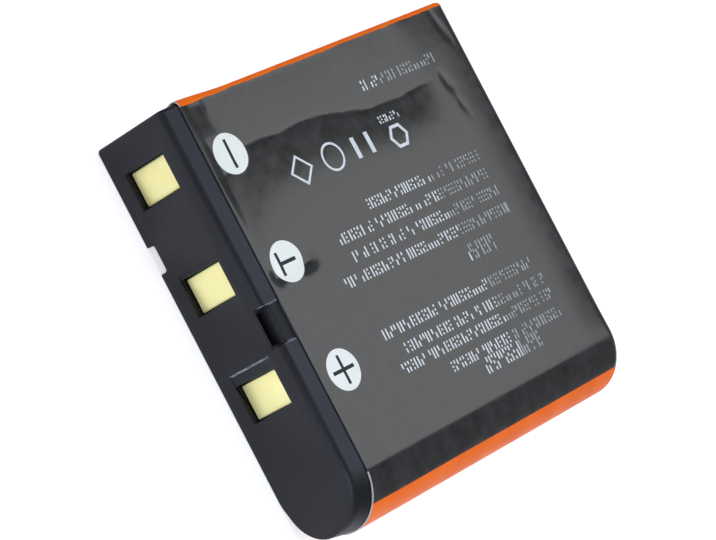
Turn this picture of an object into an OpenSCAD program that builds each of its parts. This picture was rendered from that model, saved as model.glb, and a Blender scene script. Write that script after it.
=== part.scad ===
// Flat rechargeable pack: a moulded terminal end with three contacts, a drawn metal cell, a moulded
// side frame and a two-colour film wrap.
// The pack lies on its plain large face with the printed face up. X runs along the contact row, from
// the square side at -X to the half-round side at +X. The terminal face looks along -Y.
// Depths are counted from the terminal face, sideways places from the square side.

/* [Body] */
// Width along the contact row, over the film
body_w = 38.5; // [37:0.1:44]
// Length from the terminal face to the far face, over the film
body_d = 38.2; // [30:0.1:52]
// Thickness between the two large faces, over the film
body_t = 9.6; // [9.2:0.1:11]
// Rounding of the two long edges on the square side
side_r = 0.5; // [0.35:0.05:0.8]
// Rounding of the far edge
far_r = 1.0; // [0.6:0.05:1.5]

/* [Film] */
// Thickness of the printed film
film_t = 0.12; // [0.08:0.01:0.16]
// Gap between the film and what it wraps
film_gap = 0.03; // [0.01:0.01:0.06]
// Angle above the middle plane at which the two films meet on the half-round side
seam_angle = 46; // [30:1:60]
// Width of the lower film that shows on the printed face along the square side
seam_w = 0.45; // [0.3:0.05:1]
// How far the film laps in on the far face
far_lap = 0.9; // [0.3:0.1:2]
// Gap between that lap and the face that stands in its opening
lap_gap = 0.15; // [0.1:0.05:0.3]

/* [Printed marks] */
// Radius of the pale discs
mark_r = 1.87; // [1.4:0.01:2.2]
// Depth of the disc centres behind the terminal face
mark_d = 4.65; // [4:0.05:8]
// Place of the first disc from the square side
mark_x = 5.65; // [3:0.05:7]
// Spacing of the discs
mark_pitch = 10.18; // [8:0.02:11]
// Length of the strokes of the signs
stroke_l = 2.65; // [2:0.05:2.7]
// Width of the strokes of the signs
stroke_w = 0.33; // [0.2:0.01:0.5]
// Thickness of the ink
ink_t = 0.03; // [0.02:0.01:0.05]

/* [End cap] */
// Depth of the strip of the cap that stays bare
strip_d = 1.65; // [1.4:0.05:2.4]
// Rise of that strip from the terminal face to the film
strip_rise = 0.5; // [0.3:0.05:0.8]
// How far the strip's printed side and round side lie below the film where they meet
strip_inset = 0.12; // [0.06:0.01:0.2]
// Rounding of the terminal face on the printed side and round the end
face_r = 0.45; // [0.2:0.05:0.7]
// Rounding of the other edges of the terminal face
face_edge_r = 0.2; // [0.1:0.05:0.4]
// Width of the groove between the strip and the film
groove_w = 0.12; // [0.08:0.01:0.2]
// Depth of that groove below the strip
groove_h = 0.22; // [0.1:0.01:0.3]
// Depth of the whole cap, to the top of the cell
cap_d = 4.0; // [3.9:0.05:5]
// Thickness of the cap's skirt
cap_wall = 0.8; // [0.6:0.05:1]
// Thickness of the cap behind the terminal face
face_wall = 0.9; // [0.8:0.05:1.2]
// Radius of the two pegs that hold the circuit board
peg_r = 0.45; // [0.3:0.05:0.6]
// Clearance round the pegs, the contact legs and the frame's tongue
peg_gap = 0.06; // [0.03:0.01:0.15]

/* [Contacts] */
// Width of a contact plate
contact_w = 3.15; // [2.6:0.05:3.6]
// Height of a contact plate
contact_h = 4.85; // [3.6:0.05:5.2]
// Place of the first contact from the square side
contact_x = 4.74; // [4:0.02:6]
// Spacing of the contacts
contact_pitch = 10.08; // [9.8:0.02:10.4]
// Height of the contact row above the underside
contact_z = 4.4; // [4:0.05:5]
// Depth of the gold face behind the terminal face
contact_recess = 0.6; // [0.3:0.05:0.7]
// Gap between a contact plate and its window
window_gap = 0.16; // [0.08:0.02:0.3]
// Width of the shallow lead-in beside the middle window
lead_in_mid = 0.35; // [0.2:0.05:0.9]
// Width of the shallow lead-in beside the last window
lead_in_last = 0.95; // [0.3:0.05:1.2]
// Depth of the lead-ins
lead_in_d = 0.14; // [0.08:0.02:0.25]

/* [Keyway] */
// Place of the keyway from the square side
key_x = 9.3; // [8.9:0.1:9.6]
// Width of the keyway
key_w = 2.5; // [1.6:0.1:2.6]
// Height of the keyway
key_h = 0.95; // [0.5:0.05:1.2]
// Rounding of the keyway's corners
key_r = 0.3; // [0.1:0.05:0.45]

/* [Latch slot] */
// Place of the latch slot from the square side
latch_x = 18.35; // [18:0.05:18.6]
// Width of the latch slot
latch_w = 3.5; // [2.6:0.1:3.6]
// Height of the latch slot in the terminal face
latch_h = 1.1; // [0.6:0.05:1.4]
// Depth of the latch slot behind the terminal face
latch_d = 0.95; // [0.7:0.05:1.1]
// Further depth of the pocket in the floor of the slot
latch_pocket = 0.8; // [0.4:0.05:0.9]
// Lip left round that pocket
latch_lip = 0.28; // [0.15:0.01:0.4]
// Drop of the ledge between the slot and the film
ledge_drop = 0.25; // [0.1:0.05:0.4]
// Wall round the latch slot and the keyway, inside the cap
slot_wall = 0.55; // [0.4:0.05:0.7]

/* [Cell] */
// Wall of the can
can_wall = 0.4; // [0.3:0.05:0.55]
// Rounding of the can's bottom edge
can_r = 0.8; // [0.6:0.05:1.2]
// Thickness of the lid
lid_t = 0.8; // [0.6:0.05:1]
// Play of the lid in the can
lid_gap = 0.02; // [0.01:0.01:0.05]
// Distance of the rivet from the middle contact
rivet_shift = 6.53; // [6.2:0.01:6.8]
// Radius of the rivet's shank
rivet_r = 0.7; // [0.5:0.05:0.9]
// Radius of the rivet's head
rivet_head_r = 1.4; // [1.2:0.05:1.7]
// Wall of the gasket round the shank
gasket_wall = 0.35; // [0.25:0.05:0.5]
// Thickness of the gasket's flanges
gasket_flange = 0.25; // [0.15:0.05:0.35]
// Rim of the gasket's flanges past the rivet's head
gasket_rim = 0.3; // [0.2:0.05:0.4]
// Thickness of the plate inside the cell that takes the current
collector_t = 0.25; // [0.15:0.05:0.35]
// Length of that plate
collector_l = 7; // [5:0.1:10]
// Width of that plate
collector_w = 3.2; // [2:0.1:4]
// Radius of the filling hole's plug
plug_r = 0.6; // [0.4:0.05:0.8]
// Distance of the filling hole from the rivet
plug_x = 10.5; // [8:0.1:12]
// Space between the lid and the winding's cover
head_space = 1.3; // [1.1:0.05:2]
// Thickness of the winding's cover
cover_t = 0.3; // [0.2:0.05:0.5]
// Length of the two slots in that cover
vent_l = 3; // [1:0.1:4]
// Play of the winding in the can
winding_gap = 0.15; // [0.08:0.01:0.3]
// Width of the slit that the winding mandrel leaves
mandrel_w = 0.4; // [0.2:0.05:0.8]

/* [Side frame] */
// Width of the rail between the film and the cell
rail_w = 4.2; // [3.8:0.1:5.2]
// Thickness of the frame's lips where they end over the cell
lip_t = 0.35; // [0.25:0.05:0.5]
// Gap between the frame and the cell
frame_gap = 0.05; // [0.02:0.01:0.1]
// Thickness of the frame across the far end
far_wall = 2.1; // [1.8:0.05:3]
// Skin left behind the frame's cored pockets
frame_skin = 0.9; // [0.7:0.05:1.2]
// Thickness of the ribs between the pockets
rib_t = 1.0; // [0.7:0.05:1.4]
// Number of pockets in the rail
rail_pockets = 4; // [2:1:6]
// Number of pockets in the far wall
end_pockets = 4; // [2:1:6]
// Height of the pockets
pocket_h = 4.6; // [3:0.1:5]
// Length of the tongue that enters the cap
tongue_l = 1.5; // [0.8:0.05:1.6]
// Thickness of the adhesive tape at the far end
tape_t = 0.1; // [0.05:0.01:0.2]
// Height of the adhesive tape
tape_h = 5.6; // [4:0.1:6.5]

/* [Circuit board] */
// Thickness of the board
board_t = 0.8; // [0.6:0.05:0.85]
// Play between the board and the cap's skirt
board_gap = 0.35; // [0.2:0.05:0.5]
// Gap between the board's cut-outs and the cap
notch_gap = 0.15; // [0.1:0.02:0.25]
// Radius of the contact legs
leg_r = 0.35; // [0.2:0.05:0.45]
// Length of the contact legs behind the board
leg_end = 0.35; // [0.2:0.05:0.5]
// Distance of the contact legs from the middle of the row
leg_z = 1.5; // [1:0.05:1.8]
// Thickness of the nickel tabs
tab_t = 0.15; // [0.1:0.01:0.2]
// Width of the nickel tabs
tab_w = 3; // [2:0.1:3.6]
// Outer radius of the bends in the tabs
tab_r = 0.4; // [0.25:0.05:0.5]
// Thickness of the paper insulator on the lid
paper_t = 0.2; // [0.1:0.01:0.25]
// Thickness of the resettable fuse
fuse_t = 0.5; // [0.4:0.05:0.6]
// Length of the resettable fuse
fuse_l = 4; // [3:0.1:4.4]

/* [Hidden] */
$fn = 96;
// Overshoot of cutting tools past the face that they cut
over = 1;
// Thickness of the slices that the cap's front is lofted through
slice_t = 0.01;

// Outer limits and the axis of the half-round side
x_lo = -body_w / 2;
x_hi = body_w / 2;
mid_z = body_t / 2;
round_x = x_hi - body_t / 2;
film_d = strip_d + groove_w;
wrap_inset = film_t + film_gap;

// Cap and board. The terminal face is fuller at its lower corner on the half-round side, where a circle
// of this radius touches the film's outline at this angle.
heel_r = 0.37 * body_t;
heel_angle = -50;
pocket_inset = wrap_inset + cap_wall;
pocket_r = 0.3;
cap_corner = 0.35;
board_inset = pocket_inset + board_gap;
board_h = body_t - 2 * board_inset;
board_back = face_wall + board_t;
peg_x = [x_lo + board_inset + 1, x_hi - board_inset - 1.3];
peg_end = board_back + 0.3;
latch_floor = body_t - strip_inset - strip_rise - latch_h;
latch_left = x_lo + latch_x;
key_left = x_lo + key_x;

// Cell and what stands on its lid
cell_right = x_hi - wrap_inset;
cell_left = x_lo + wrap_inset + rail_w;
cell_mid = (cell_left + cell_right) / 2;
cell_w = cell_right - cell_left;
cell_t = body_t - 2 * wrap_inset;
cell_end = body_d - far_wall - tape_t;
rivet_x = contact_mid(1) + rivet_shift;
head_t = paper_t + fuse_t - gasket_flange;
head_d = cap_d - gasket_flange - head_t;
lid_back = cap_d + lid_t;
collector_d = lid_back + gasket_flange;
upset_t = 0.2;
cover_d = lid_back + head_space;

// Fuse and tabs
fuse_x = rivet_x + rivet_head_r + gasket_rim + 0.4;
tab_foot = 1.7;
plus_tab_x = contact_mid(0) + 2.5;
switch_w = 3.0;
switch_h = 4.4;
chip_w = 2.9;
chip_h = 1.6;
leg_reach = 1.0;
switch_x = contact_mid(2) + leg_r + 0.85 + switch_w / 2;
fuse_lead_x = switch_x + switch_w / 2 + 0.45 + tab_foot;

// Frame
lip_x = cell_left + cell_t / 2 - sqrt(cell_t * lip_t - lip_t * lip_t);
tape_w = cell_w - cell_t - 2;

// Parts on the board: sideways place, and height from the board's lower edge
thermistor_at = [plus_tab_x + tab_foot + 1.4, 4.9];
capacitor_at = [for (k = [0:1]) [contact_mid(1) + 1.7, 2.2 + 1.5 * k]];
chip_at = [contact_mid(1) + 4.4, 2.6];
resistor_at = [for (k = [0:2]) [contact_mid(2) - 2.6, 1.2 + 1.15 * k]];
switch_at = [switch_x, board_h / 2];

// Place at a depth behind the terminal face
function at(d) = d - body_d / 2;
// Inset of an edge of radius r at depth d
function edge_inset(r, d) = d >= r ? 0 : r - sqrt(r * r - (r - d) * (r - d));
// Middle of contact number k
function contact_mid(k) = x_lo + contact_x + k * contact_pitch;

// Extrude an outline drawn in X and Z between two depths
module along_y(d0, d1) {
    translate([0, at(d1), 0]) rotate([90, 0, 0]) linear_extrude(d1 - d0) children();
}

// Extrude an outline drawn in Y and Z between two sideways places
module along_x(x0, x1) {
    translate([x0, 0, 0]) rotate([90, 0, 90]) linear_extrude(x1 - x0) children();
}

// Turn a profile, drawn as radius and Y, about an axis along Y
module lathe_y(x, z) {
    translate([x, 0, z]) rotate([-90, 0, 0]) rotate_extrude() children();
}

// Block between two sideways places, two depths and two heights
module block(x0, x1, d0, d1, z0, z1) {
    translate([x0, at(d0), z0]) cube([x1 - x0, d1 - d0, z1 - z0]);
}

// Outline with rounded corners, from its lower left corner
module rounded_square(w, h, r) {
    translate([r, 0]) square([w - 2 * r, h]);
    translate([0, r]) square([w, h - 2 * r]);
    for (x = [r, w - r], y = [r, h - r]) translate([x, y]) circle(r);
}

// Cross-section of the pack without its half-round side
module square_part(inset, corner) {
    h = body_t / 2 - inset;
    left = x_lo + inset;
    translate([left + corner, mid_z - h]) square([round_x - left - corner, 2 * h]);
    translate([left, mid_z - h + corner]) square([round_x - left, 2 * h - 2 * corner]);
    for (s = [-1, 1]) translate([left + corner, mid_z + s * (h - corner)]) circle(corner);
}

// Cross-section of the pack, set in all round by one inset
module section(inset, corner) {
    square_part(inset, corner);
    translate([round_x, mid_z]) circle(body_t / 2 - inset);
}

// Flat outline with two half-round sides, between two sideways places
module obround(x0, x1, t) {
    translate([x0 + t / 2, mid_z - t / 2]) square([x1 - x0 - t, t]);
    for (x = [x0 + t / 2, x1 - t / 2]) translate([x, mid_z]) circle(t / 2);
}

// Profile of a turned end whose far edge is rounded, as radius and Y
module turned_profile(h, d0, d1, r) {
    translate([0, at(d0)]) square([h, d1 - d0 - r]);
    translate([0, at(d0)]) square([h - r, d1 - d0]);
    translate([h - r, at(d1) - r]) circle(r);
}

// Side view whose two far corners are rounded, as Y and Z
module side_profile(h, d0, d1, r) {
    translate([at(d0), mid_z - h]) square([d1 - d0 - r, 2 * h]);
    translate([at(d0), mid_z - h + r]) square([d1 - d0, 2 * h - 2 * r]);
    for (s = [-1, 1]) translate([at(d1) - r, mid_z + s * (h - r)]) circle(r);
}

// The pack's whole form behind a depth, with its rounded far edge, set in by one inset
module wrapped_body(d0, inset) {
    h = body_t / 2 - inset;
    d1 = body_d - inset;
    r = far_r - inset;
    left = x_lo + inset;
    intersection() {
        along_y(d0, d1) square_part(inset, side_r - inset);
        along_x(x_lo - over, round_x) side_profile(h, d0, d1, r);
        linear_extrude(body_t) {
            translate([left, at(d0)]) square([round_x - left, d1 - d0 - r]);
            translate([left + r, at(d0)]) square([round_x - left - r, d1 - d0]);
            translate([left + r, at(d1) - r]) circle(r);
        }
    }
    lathe_y(round_x, mid_z) turned_profile(h, d0, d1, r);
}

// Bar with two half-round sides and a rounded far edge
module rounded_bar(x0, x1, t, d0, d1, r) {
    along_x(x0 + t / 2, x1 - t / 2) side_profile(t / 2, d0, d1, r);
    for (x = [x0 + t / 2, x1 - t / 2]) lathe_y(x, mid_z) turned_profile(t / 2, d0, d1, r);
}

// One slice of the cap's bare front, at a depth
module cap_slice(d, d0) {
    rise = strip_inset + strip_rise * (1 - d / strip_d) + edge_inset(face_r, d);
    low = edge_inset(face_edge_r, d);
    r = (body_t - rise - low) / 2;
    heel = body_t / 2 - low - heel_r;
    along_y(d0, d0 + slice_t) {
        translate([x_hi - rise - r, low + r]) circle(r, $fn = 72);
        translate([round_x + heel * cos(heel_angle), mid_z + heel * sin(heel_angle)])
            circle(heel_r, $fn = 72);
        for (z = [low + cap_corner, body_t - rise - cap_corner])
            translate([x_lo + low + cap_corner, z]) circle(cap_corner, $fn = 24);
    }
}

// Bare front of the cap: rounded at the face, then rising to the film on the printed side and the
// upper half-round side, and straight below
module cap_front() {
    steps = 6;
    hull() {
        for (k = [0:steps]) cap_slice(face_r * (1 - cos(90 * k / steps)), face_r * (1 - cos(90 * k / steps)));
        cap_slice(strip_d, strip_d - slice_t);
    }
}

// Space inside the cap, round the walls of the latch slot and the keyway and round the pegs
module cap_pocket() {
    difference() {
        along_y(face_wall, cap_d + over) section(pocket_inset, pocket_r);
        block(latch_left - slot_wall, latch_left + latch_w + slot_wall, 0, latch_d + slot_wall,
              latch_floor - latch_pocket - slot_wall, body_t);
        block(key_left - slot_wall, key_left + key_w + slot_wall, 0, strip_d + slot_wall,
              0, key_h + slot_wall);
        for (x = peg_x) lathe_y(x, mid_z) translate([0, at(0)]) square([peg_r, peg_end]);
    }
}

// Keyway in the lower edge of the terminal face
module keyway() {
    along_y(-over, strip_d) translate([key_left, -key_h]) rounded_square(key_w, 2 * key_h, key_r);
}

// Latch slot in the upper edge: an open notch, a deeper pocket in its floor and a dropped ledge
module latch_slot() {
    right = latch_left + latch_w;
    ledge_top = body_t - strip_inset - ledge_drop;
    block(latch_left, right, -over, latch_d, latch_floor, body_t + over);
    block(latch_left + latch_lip, right - latch_lip, latch_lip, latch_d,
          latch_floor - latch_pocket, body_t);
    along_x(latch_left, right)
        polygon([[at(0), ledge_top - strip_rise], [at(film_d), ledge_top],
                 [at(film_d), body_t + over], [at(0), body_t + over]]);
}

// Window round contact number k
module contact_window(k) {
    w = contact_w + 2 * window_gap;
    h = contact_h + 2 * window_gap;
    block(contact_mid(k) - w / 2, contact_mid(k) + w / 2, -over, face_wall + over,
          contact_z - h / 2, contact_z + h / 2);
}

// Shallow lead-in on the square side of window number k
module lead_in(k, w) {
    edge = contact_mid(k) - contact_w / 2 - window_gap;
    h = contact_h + 2 * window_gap;
    block(edge - w, edge + over, -over, lead_in_d, contact_z - h / 2, contact_z + h / 2);
}

module end_cap() {
    color([0.13, 0.13, 0.14]) difference() {
        union() {
            cap_front();
            along_y(strip_d - groove_w, film_d + groove_w) section(strip_inset + groove_h, side_r - groove_h);
            along_y(film_d, cap_d) section(wrap_inset, side_r - wrap_inset);
        }
        cap_pocket();
        for (k = [0:2]) contact_window(k);
        lead_in(1, lead_in_mid);
        lead_in(2, lead_in_last);
        keyway();
        latch_slot();
    }
}

// Gold contact plate number k with its two soldered legs
module contact(k) {
    color([0.93, 0.86, 0.55]) {
        along_y(contact_recess, face_wall)
            translate([contact_mid(k) - contact_w / 2, contact_z - contact_h / 2])
                rounded_square(contact_w, contact_h, 0.12);
        for (s = [-1, 1]) lathe_y(contact_mid(k), contact_z + s * leg_z)
            translate([0, at(contact_recess)]) square([leg_r, board_back + leg_end - contact_recess]);
    }
}

module contact_minus() { contact(0); }
module contact_thermistor() { contact(1); }
module contact_plus() { contact(2); }

// Board behind the terminal face, cut out round the latch slot and the keyway
module circuit_board() {
    color([0.10, 0.36, 0.20]) difference() {
        along_y(face_wall, board_back) section(board_inset, pocket_r);
        block(latch_left - slot_wall - notch_gap, latch_left + latch_w + slot_wall + notch_gap, 0, cap_d,
              latch_floor - latch_pocket - slot_wall - notch_gap, body_t);
        block(key_left - slot_wall - notch_gap, key_left + key_w + slot_wall + notch_gap, 0, cap_d,
              0, key_h + slot_wall + notch_gap);
        for (x = peg_x) lathe_y(x, mid_z) translate([0, at(0)]) square([peg_r + peg_gap, cap_d]);
        for (k = [0:2], s = [-1, 1]) lathe_y(contact_mid(k), contact_z + s * leg_z)
            translate([0, at(0)]) square([leg_r + peg_gap, cap_d]);
    }
}

// Block on the back of the board, centred on a place and standing off it by a gap
module on_board(place, w, h, t, gap) {
    z = board_inset + place[1];
    block(place[0] - w / 2, place[0] + w / 2, board_back + gap, board_back + gap + t, z - h / 2, z + h / 2);
}

// Moulded chip with rows of legs above and below, each leg starting inside the resin
module leaded_chip(place, w, h, t, pitch, rows, reach) {
    color([0.09, 0.09, 0.10]) on_board(place, w, h, t - 0.08, 0.08);
    color([0.75, 0.75, 0.76]) for (k = [0:rows - 1], s = [-1, 1]) {
        x = place[0] + (k - (rows - 1) / 2) * pitch;
        on_board([x, place[1] + s * (h / 2 + reach / 2)], 0.3, reach, 0.15, 0);
        on_board([x, place[1] + s * h / 2], 0.3, 0.4, t / 2, 0);
    }
}

module protection_chip() { leaded_chip(chip_at, chip_w, chip_h, chip_w / 3, chip_w / 3, 3, leg_reach * 0.6); }
module switch_transistors() {
    leaded_chip(switch_at, switch_w, switch_h, 0.95, switch_w / 4.6, 4, leg_reach);
}

// Ceramic chip with plated ends
module end_capped_chip(place, w, h, t, body_colour) {
    plated = w / 5;
    color(body_colour) on_board(place, w - 2 * plated, h - 0.06, t - 0.06, 0);
    color([0.78, 0.78, 0.79]) for (s = [-1, 1])
        on_board([place[0] + s * (w - plated) / 2, place[1]], plated, h, t, 0);
}

module chip_resistors() { for (p = resistor_at) end_capped_chip(p, 1.6, 0.8, 0.45, [0.08, 0.08, 0.08]); }
module chip_capacitors() { for (p = capacitor_at) end_capped_chip(p, 1.6, 0.85, 0.8, [0.62, 0.50, 0.36]); }
module thermistor() { end_capped_chip(thermistor_at, 2.0, 1.25, 0.8, [0.22, 0.30, 0.26]); }

// Fuse chip between the rivet's head and the tab, with a lead on each side
module resettable_fuse() {
    color([0.72, 0.72, 0.70]) {
        block(fuse_x, fuse_x + fuse_l, head_d, head_d + fuse_t, mid_z - tab_w / 2, mid_z + tab_w / 2);
        block(rivet_x - rivet_head_r + 0.2, fuse_x + fuse_l - 0.4, head_d - tab_t, head_d,
              mid_z - tab_w / 3, mid_z + tab_w / 3);
        block(fuse_x + 0.1, fuse_x + fuse_l - 0.4, head_d - tab_t, head_d + tab_t,
              mid_z - tab_w / 3, mid_z + tab_w / 3);
        block(fuse_x + fuse_l - 0.4, fuse_lead_x, head_d + fuse_t - tab_t, head_d + fuse_t,
              mid_z - tab_w / 3, mid_z + tab_w / 3);
    }
}

// Nickel strip bent to a U that opens towards the square side, between two depths
module bent_tab(x1, d0, d1) {
    color([0.80, 0.79, 0.75]) translate([0, 0, mid_z - tab_w / 2]) linear_extrude(tab_w)
        intersection() {
            translate([x1 - tab_foot, at(d0)]) square([tab_foot, d1 - d0]);
            difference() {
                translate([x1 - 2 * tab_foot, at(d0)]) rounded_square(2 * tab_foot, d1 - d0, tab_r);
                translate([x1 - 2 * tab_foot + tab_t, at(d0) + tab_t])
                    rounded_square(2 * (tab_foot - tab_t), d1 - d0 - 2 * tab_t, tab_r - tab_t);
            }
        }
}

module negative_tab() { bent_tab(fuse_lead_x, board_back, head_d + fuse_t - tab_t); }
module positive_tab() { bent_tab(plus_tab_x + tab_foot, board_back, cap_d); }

// Paper on the lid, open at the rivet and at the positive tab's weld
module lid_insulator() {
    play = 0.3;
    color([0.90, 0.87, 0.78]) difference() {
        along_y(cap_d - paper_t, cap_d)
            obround(cell_left + can_wall + play, cell_right - cap_wall - play, cell_t - 2 * cap_wall - play);
        lathe_y(rivet_x, mid_z) translate([0, at(0)]) square([rivet_head_r + gasket_rim + 0.1, cap_d + over]);
        block(plus_tab_x - play, plus_tab_x + tab_foot + play, 0, cap_d + over,
              mid_z - tab_w / 2 - play, mid_z + tab_w / 2 + play);
    }
}

// Drawn can with two half-round sides, open towards the cap
module cell_can() {
    color([0.78, 0.79, 0.80]) difference() {
        rounded_bar(cell_left, cell_right, cell_t, cap_d, cell_end, can_r);
        rounded_bar(cell_left + can_wall, cell_right - can_wall, cell_t - 2 * can_wall,
                    cap_d - over, cell_end - can_wall, can_r - can_wall);
    }
}

module cell_lid() {
    inset = can_wall + lid_gap;
    color([0.82, 0.82, 0.83]) difference() {
        along_y(cap_d, lid_back) obround(cell_left + inset, cell_right - inset, cell_t - 2 * inset);
        lathe_y(rivet_x, mid_z) translate([0, at(0)]) square([rivet_r + gasket_wall, lid_back + over]);
        lathe_y(rivet_x + plug_x, mid_z) translate([0, at(0)]) square([plug_r, lid_back + over]);
    }
}

// Rivet through the lid: head outside, upset end under the collector plate
module rivet_terminal() {
    back = collector_d + collector_t;
    color([0.80, 0.76, 0.70]) lathe_y(rivet_x, mid_z) {
        translate([0, at(head_d)]) square([rivet_head_r, head_t]);
        translate([0, at(head_d)]) square([rivet_r, back + upset_t - head_d]);
        translate([0, at(back)]) square([rivet_r * 1.5, upset_t]);
    }
}

module rivet_gasket() {
    flange_r = rivet_head_r + gasket_rim;
    color([0.88, 0.88, 0.86]) lathe_y(rivet_x, mid_z) difference() {
        union() {
            translate([0, at(cap_d - gasket_flange)])
                square([rivet_r + gasket_wall, lid_t + 2 * gasket_flange]);
            translate([0, at(cap_d - gasket_flange)]) square([flange_r, gasket_flange]);
            translate([0, at(lid_back)]) square([flange_r, gasket_flange]);
        }
        translate([0, at(0)]) square([rivet_r, collector_d + over]);
    }
}

module collector_plate() {
    color([0.74, 0.74, 0.73]) difference() {
        block(rivet_x - rivet_head_r, rivet_x - rivet_head_r + collector_l, collector_d,
              collector_d + collector_t, mid_z - collector_w / 2, mid_z + collector_w / 2);
        lathe_y(rivet_x, mid_z) translate([0, at(0)]) square([rivet_r, body_d]);
    }
}

module fill_plug() {
    color([0.70, 0.70, 0.72]) lathe_y(rivet_x + plug_x, mid_z) {
        translate([0, at(cap_d)]) square([plug_r, lid_t]);
        translate([0, at(lid_back)]) square([plug_r * 0.8, 0.15]);
    }
}

// Slotted plastic cover between the lid and the winding
module winding_cover() {
    inset = can_wall + winding_gap;
    color([0.86, 0.88, 0.90]) difference() {
        along_y(cover_d, cover_d + cover_t)
            obround(cell_left + inset, cell_right - inset, cell_t - 2 * inset);
        for (x = [cell_mid - cell_w / 5, cell_mid + cell_w / 5])
            block(x - vent_l / 2, x + vent_l / 2, 0, body_d, mid_z - 1, mid_z + 1);
    }
}

// Flat winding with the slit that its mandrel leaves
module electrode_winding() {
    inset = can_wall + winding_gap;
    t = cell_t - 2 * inset;
    color([0.20, 0.20, 0.22]) difference() {
        along_y(cover_d + cover_t, cell_end - can_wall - winding_gap)
            obround(cell_left + inset, cell_right - inset, t);
        along_y(0, body_d + over) obround(cell_left + t / 2, cell_right - t / 2, mandrel_w);
    }
}

// Rail along the square side, hollowed to the cell's round side, with the wall across the far end,
// whose face stands in the film's opening
module side_frame() {
    rail_end = body_d - far_wall;
    rail_l = (rail_end - cap_d - rib_t) / rail_pockets;
    end_l = (tape_w + rib_t) / end_pockets;
    end_x = cell_mid - (tape_w + rib_t) / 2;
    tongue_x = x_lo + pocket_inset + peg_gap;
    color([0.12, 0.12, 0.13]) difference() {
        union() {
            along_y(cap_d, rail_end + 0.5) intersection() {
                section(wrap_inset, side_r - wrap_inset);
                translate([x_lo, 0]) square([lip_x - x_lo, body_t]);
            }
            block(tongue_x, tongue_x + 2.4, cap_d - tongue_l, cap_d + 0.5, mid_z - 1.8, mid_z + 1.8);
            wrapped_body(rail_end, wrap_inset);
            along_y(body_d - frame_skin, body_d) section(far_r + far_lap + lap_gap, pocket_r);
        }
        along_y(cap_d - over, rail_end) obround(cell_left - frame_gap, cell_right, cell_t + 2 * frame_gap);
        for (k = [0:rail_pockets - 1])
            block(x_lo + wrap_inset + frame_skin, lip_x, cap_d + rib_t + k * rail_l,
                  cap_d + (k + 1) * rail_l, mid_z - pocket_h / 2, mid_z + pocket_h / 2);
        for (k = [0:end_pockets - 1])
            block(end_x + rib_t / 2 + k * end_l, end_x - rib_t / 2 + (k + 1) * end_l,
                  rail_end - over, body_d - wrap_inset - frame_skin,
                  mid_z - pocket_h / 2, mid_z + pocket_h / 2);
    }
}

// Tape between the can's bottom and the frame
module adhesive_tape() {
    color([0.92, 0.92, 0.90])
        block(cell_mid - tape_w / 2, cell_mid + tape_w / 2, cell_end, cell_end + tape_t,
              mid_z - tape_h / 2, mid_z + tape_h / 2);
}

// Film over the whole body behind the cap's strip, lapped in on the far face
module film() {
    difference() {
        wrapped_body(film_d, 0);
        wrapped_body(film_d - over, film_t);
        along_y(body_d - far_r, body_d + over) section(far_r + far_lap, pocket_r);
    }
}

// Zone of the printed film: the upper face with its lap on the far face, mitred at the square side, and
// the upper part of the half-round side
module label_zone() {
    reach = [body_t * cos(seam_angle), body_t * sin(seam_angle)];
    along_y(0, body_d + over)
        polygon([[x_lo + seam_w, body_t + over], [x_lo + seam_w, body_t - seam_w],
                 [x_lo + mid_z, mid_z], [round_x, mid_z],
                 [round_x + reach.x, mid_z + reach.y], [round_x, body_t + over]]);
}

// Sign number k, drawn in X and Y about its disc's middle: minus, the thermistor's tee and plus
module sign(k) {
    if (k != 1) square([stroke_l, stroke_w], center = true);
    if (k == 1) {
        translate([-stroke_l * 0.4, -stroke_l * 0.4]) square([stroke_l * 0.8, stroke_w]);
        translate([-stroke_w / 2, -stroke_l * 0.4]) square([stroke_w, stroke_l * 0.8]);
    }
    if (k == 2) square([stroke_w, stroke_l], center = true);
}

module front_label() {
    color([0.22, 0.22, 0.23]) difference() {
        intersection() {
            film();
            label_zone();
        }
        polarity_marks();
    }
}

module rear_label() {
    color([0.93, 0.42, 0.09]) difference() {
        film();
        label_zone();
    }
}

module polarity_marks() {
    color([0.92, 0.95, 0.95]) for (k = [0:2])
        translate([x_lo + mark_x + k * mark_pitch, at(mark_d), body_t - ink_t]) linear_extrude(ink_t)
            difference() {
                circle(mark_r);
                sign(k);
            }
}

end_cap();
contact_minus();
contact_thermistor();
contact_plus();
circuit_board();
protection_chip();
switch_transistors();
chip_resistors();
chip_capacitors();
thermistor();
resettable_fuse();
negative_tab();
positive_tab();
lid_insulator();
cell_can();
cell_lid();
rivet_terminal();
rivet_gasket();
collector_plate();
fill_plug();
winding_cover();
electrode_winding();
side_frame();
adhesive_tape();
front_label();
rear_label();
polarity_marks();
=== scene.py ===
"""Looks of a flat three-contact rechargeable pack: a printed film round a cell and a moulded end.

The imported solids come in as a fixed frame. The two films, their print, the moulded end and the
contact plates are modelled again here with their edges and shallow relief, and every other solid
takes a procedural finish. Lengths in the classes are millimetres; Blender gets metres.
"""

import logging
import math
from collections.abc import Callable
from dataclasses import dataclass, field
from enum import Enum

import bmesh
import bpy
from mathutils import Matrix, Vector, noise


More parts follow.
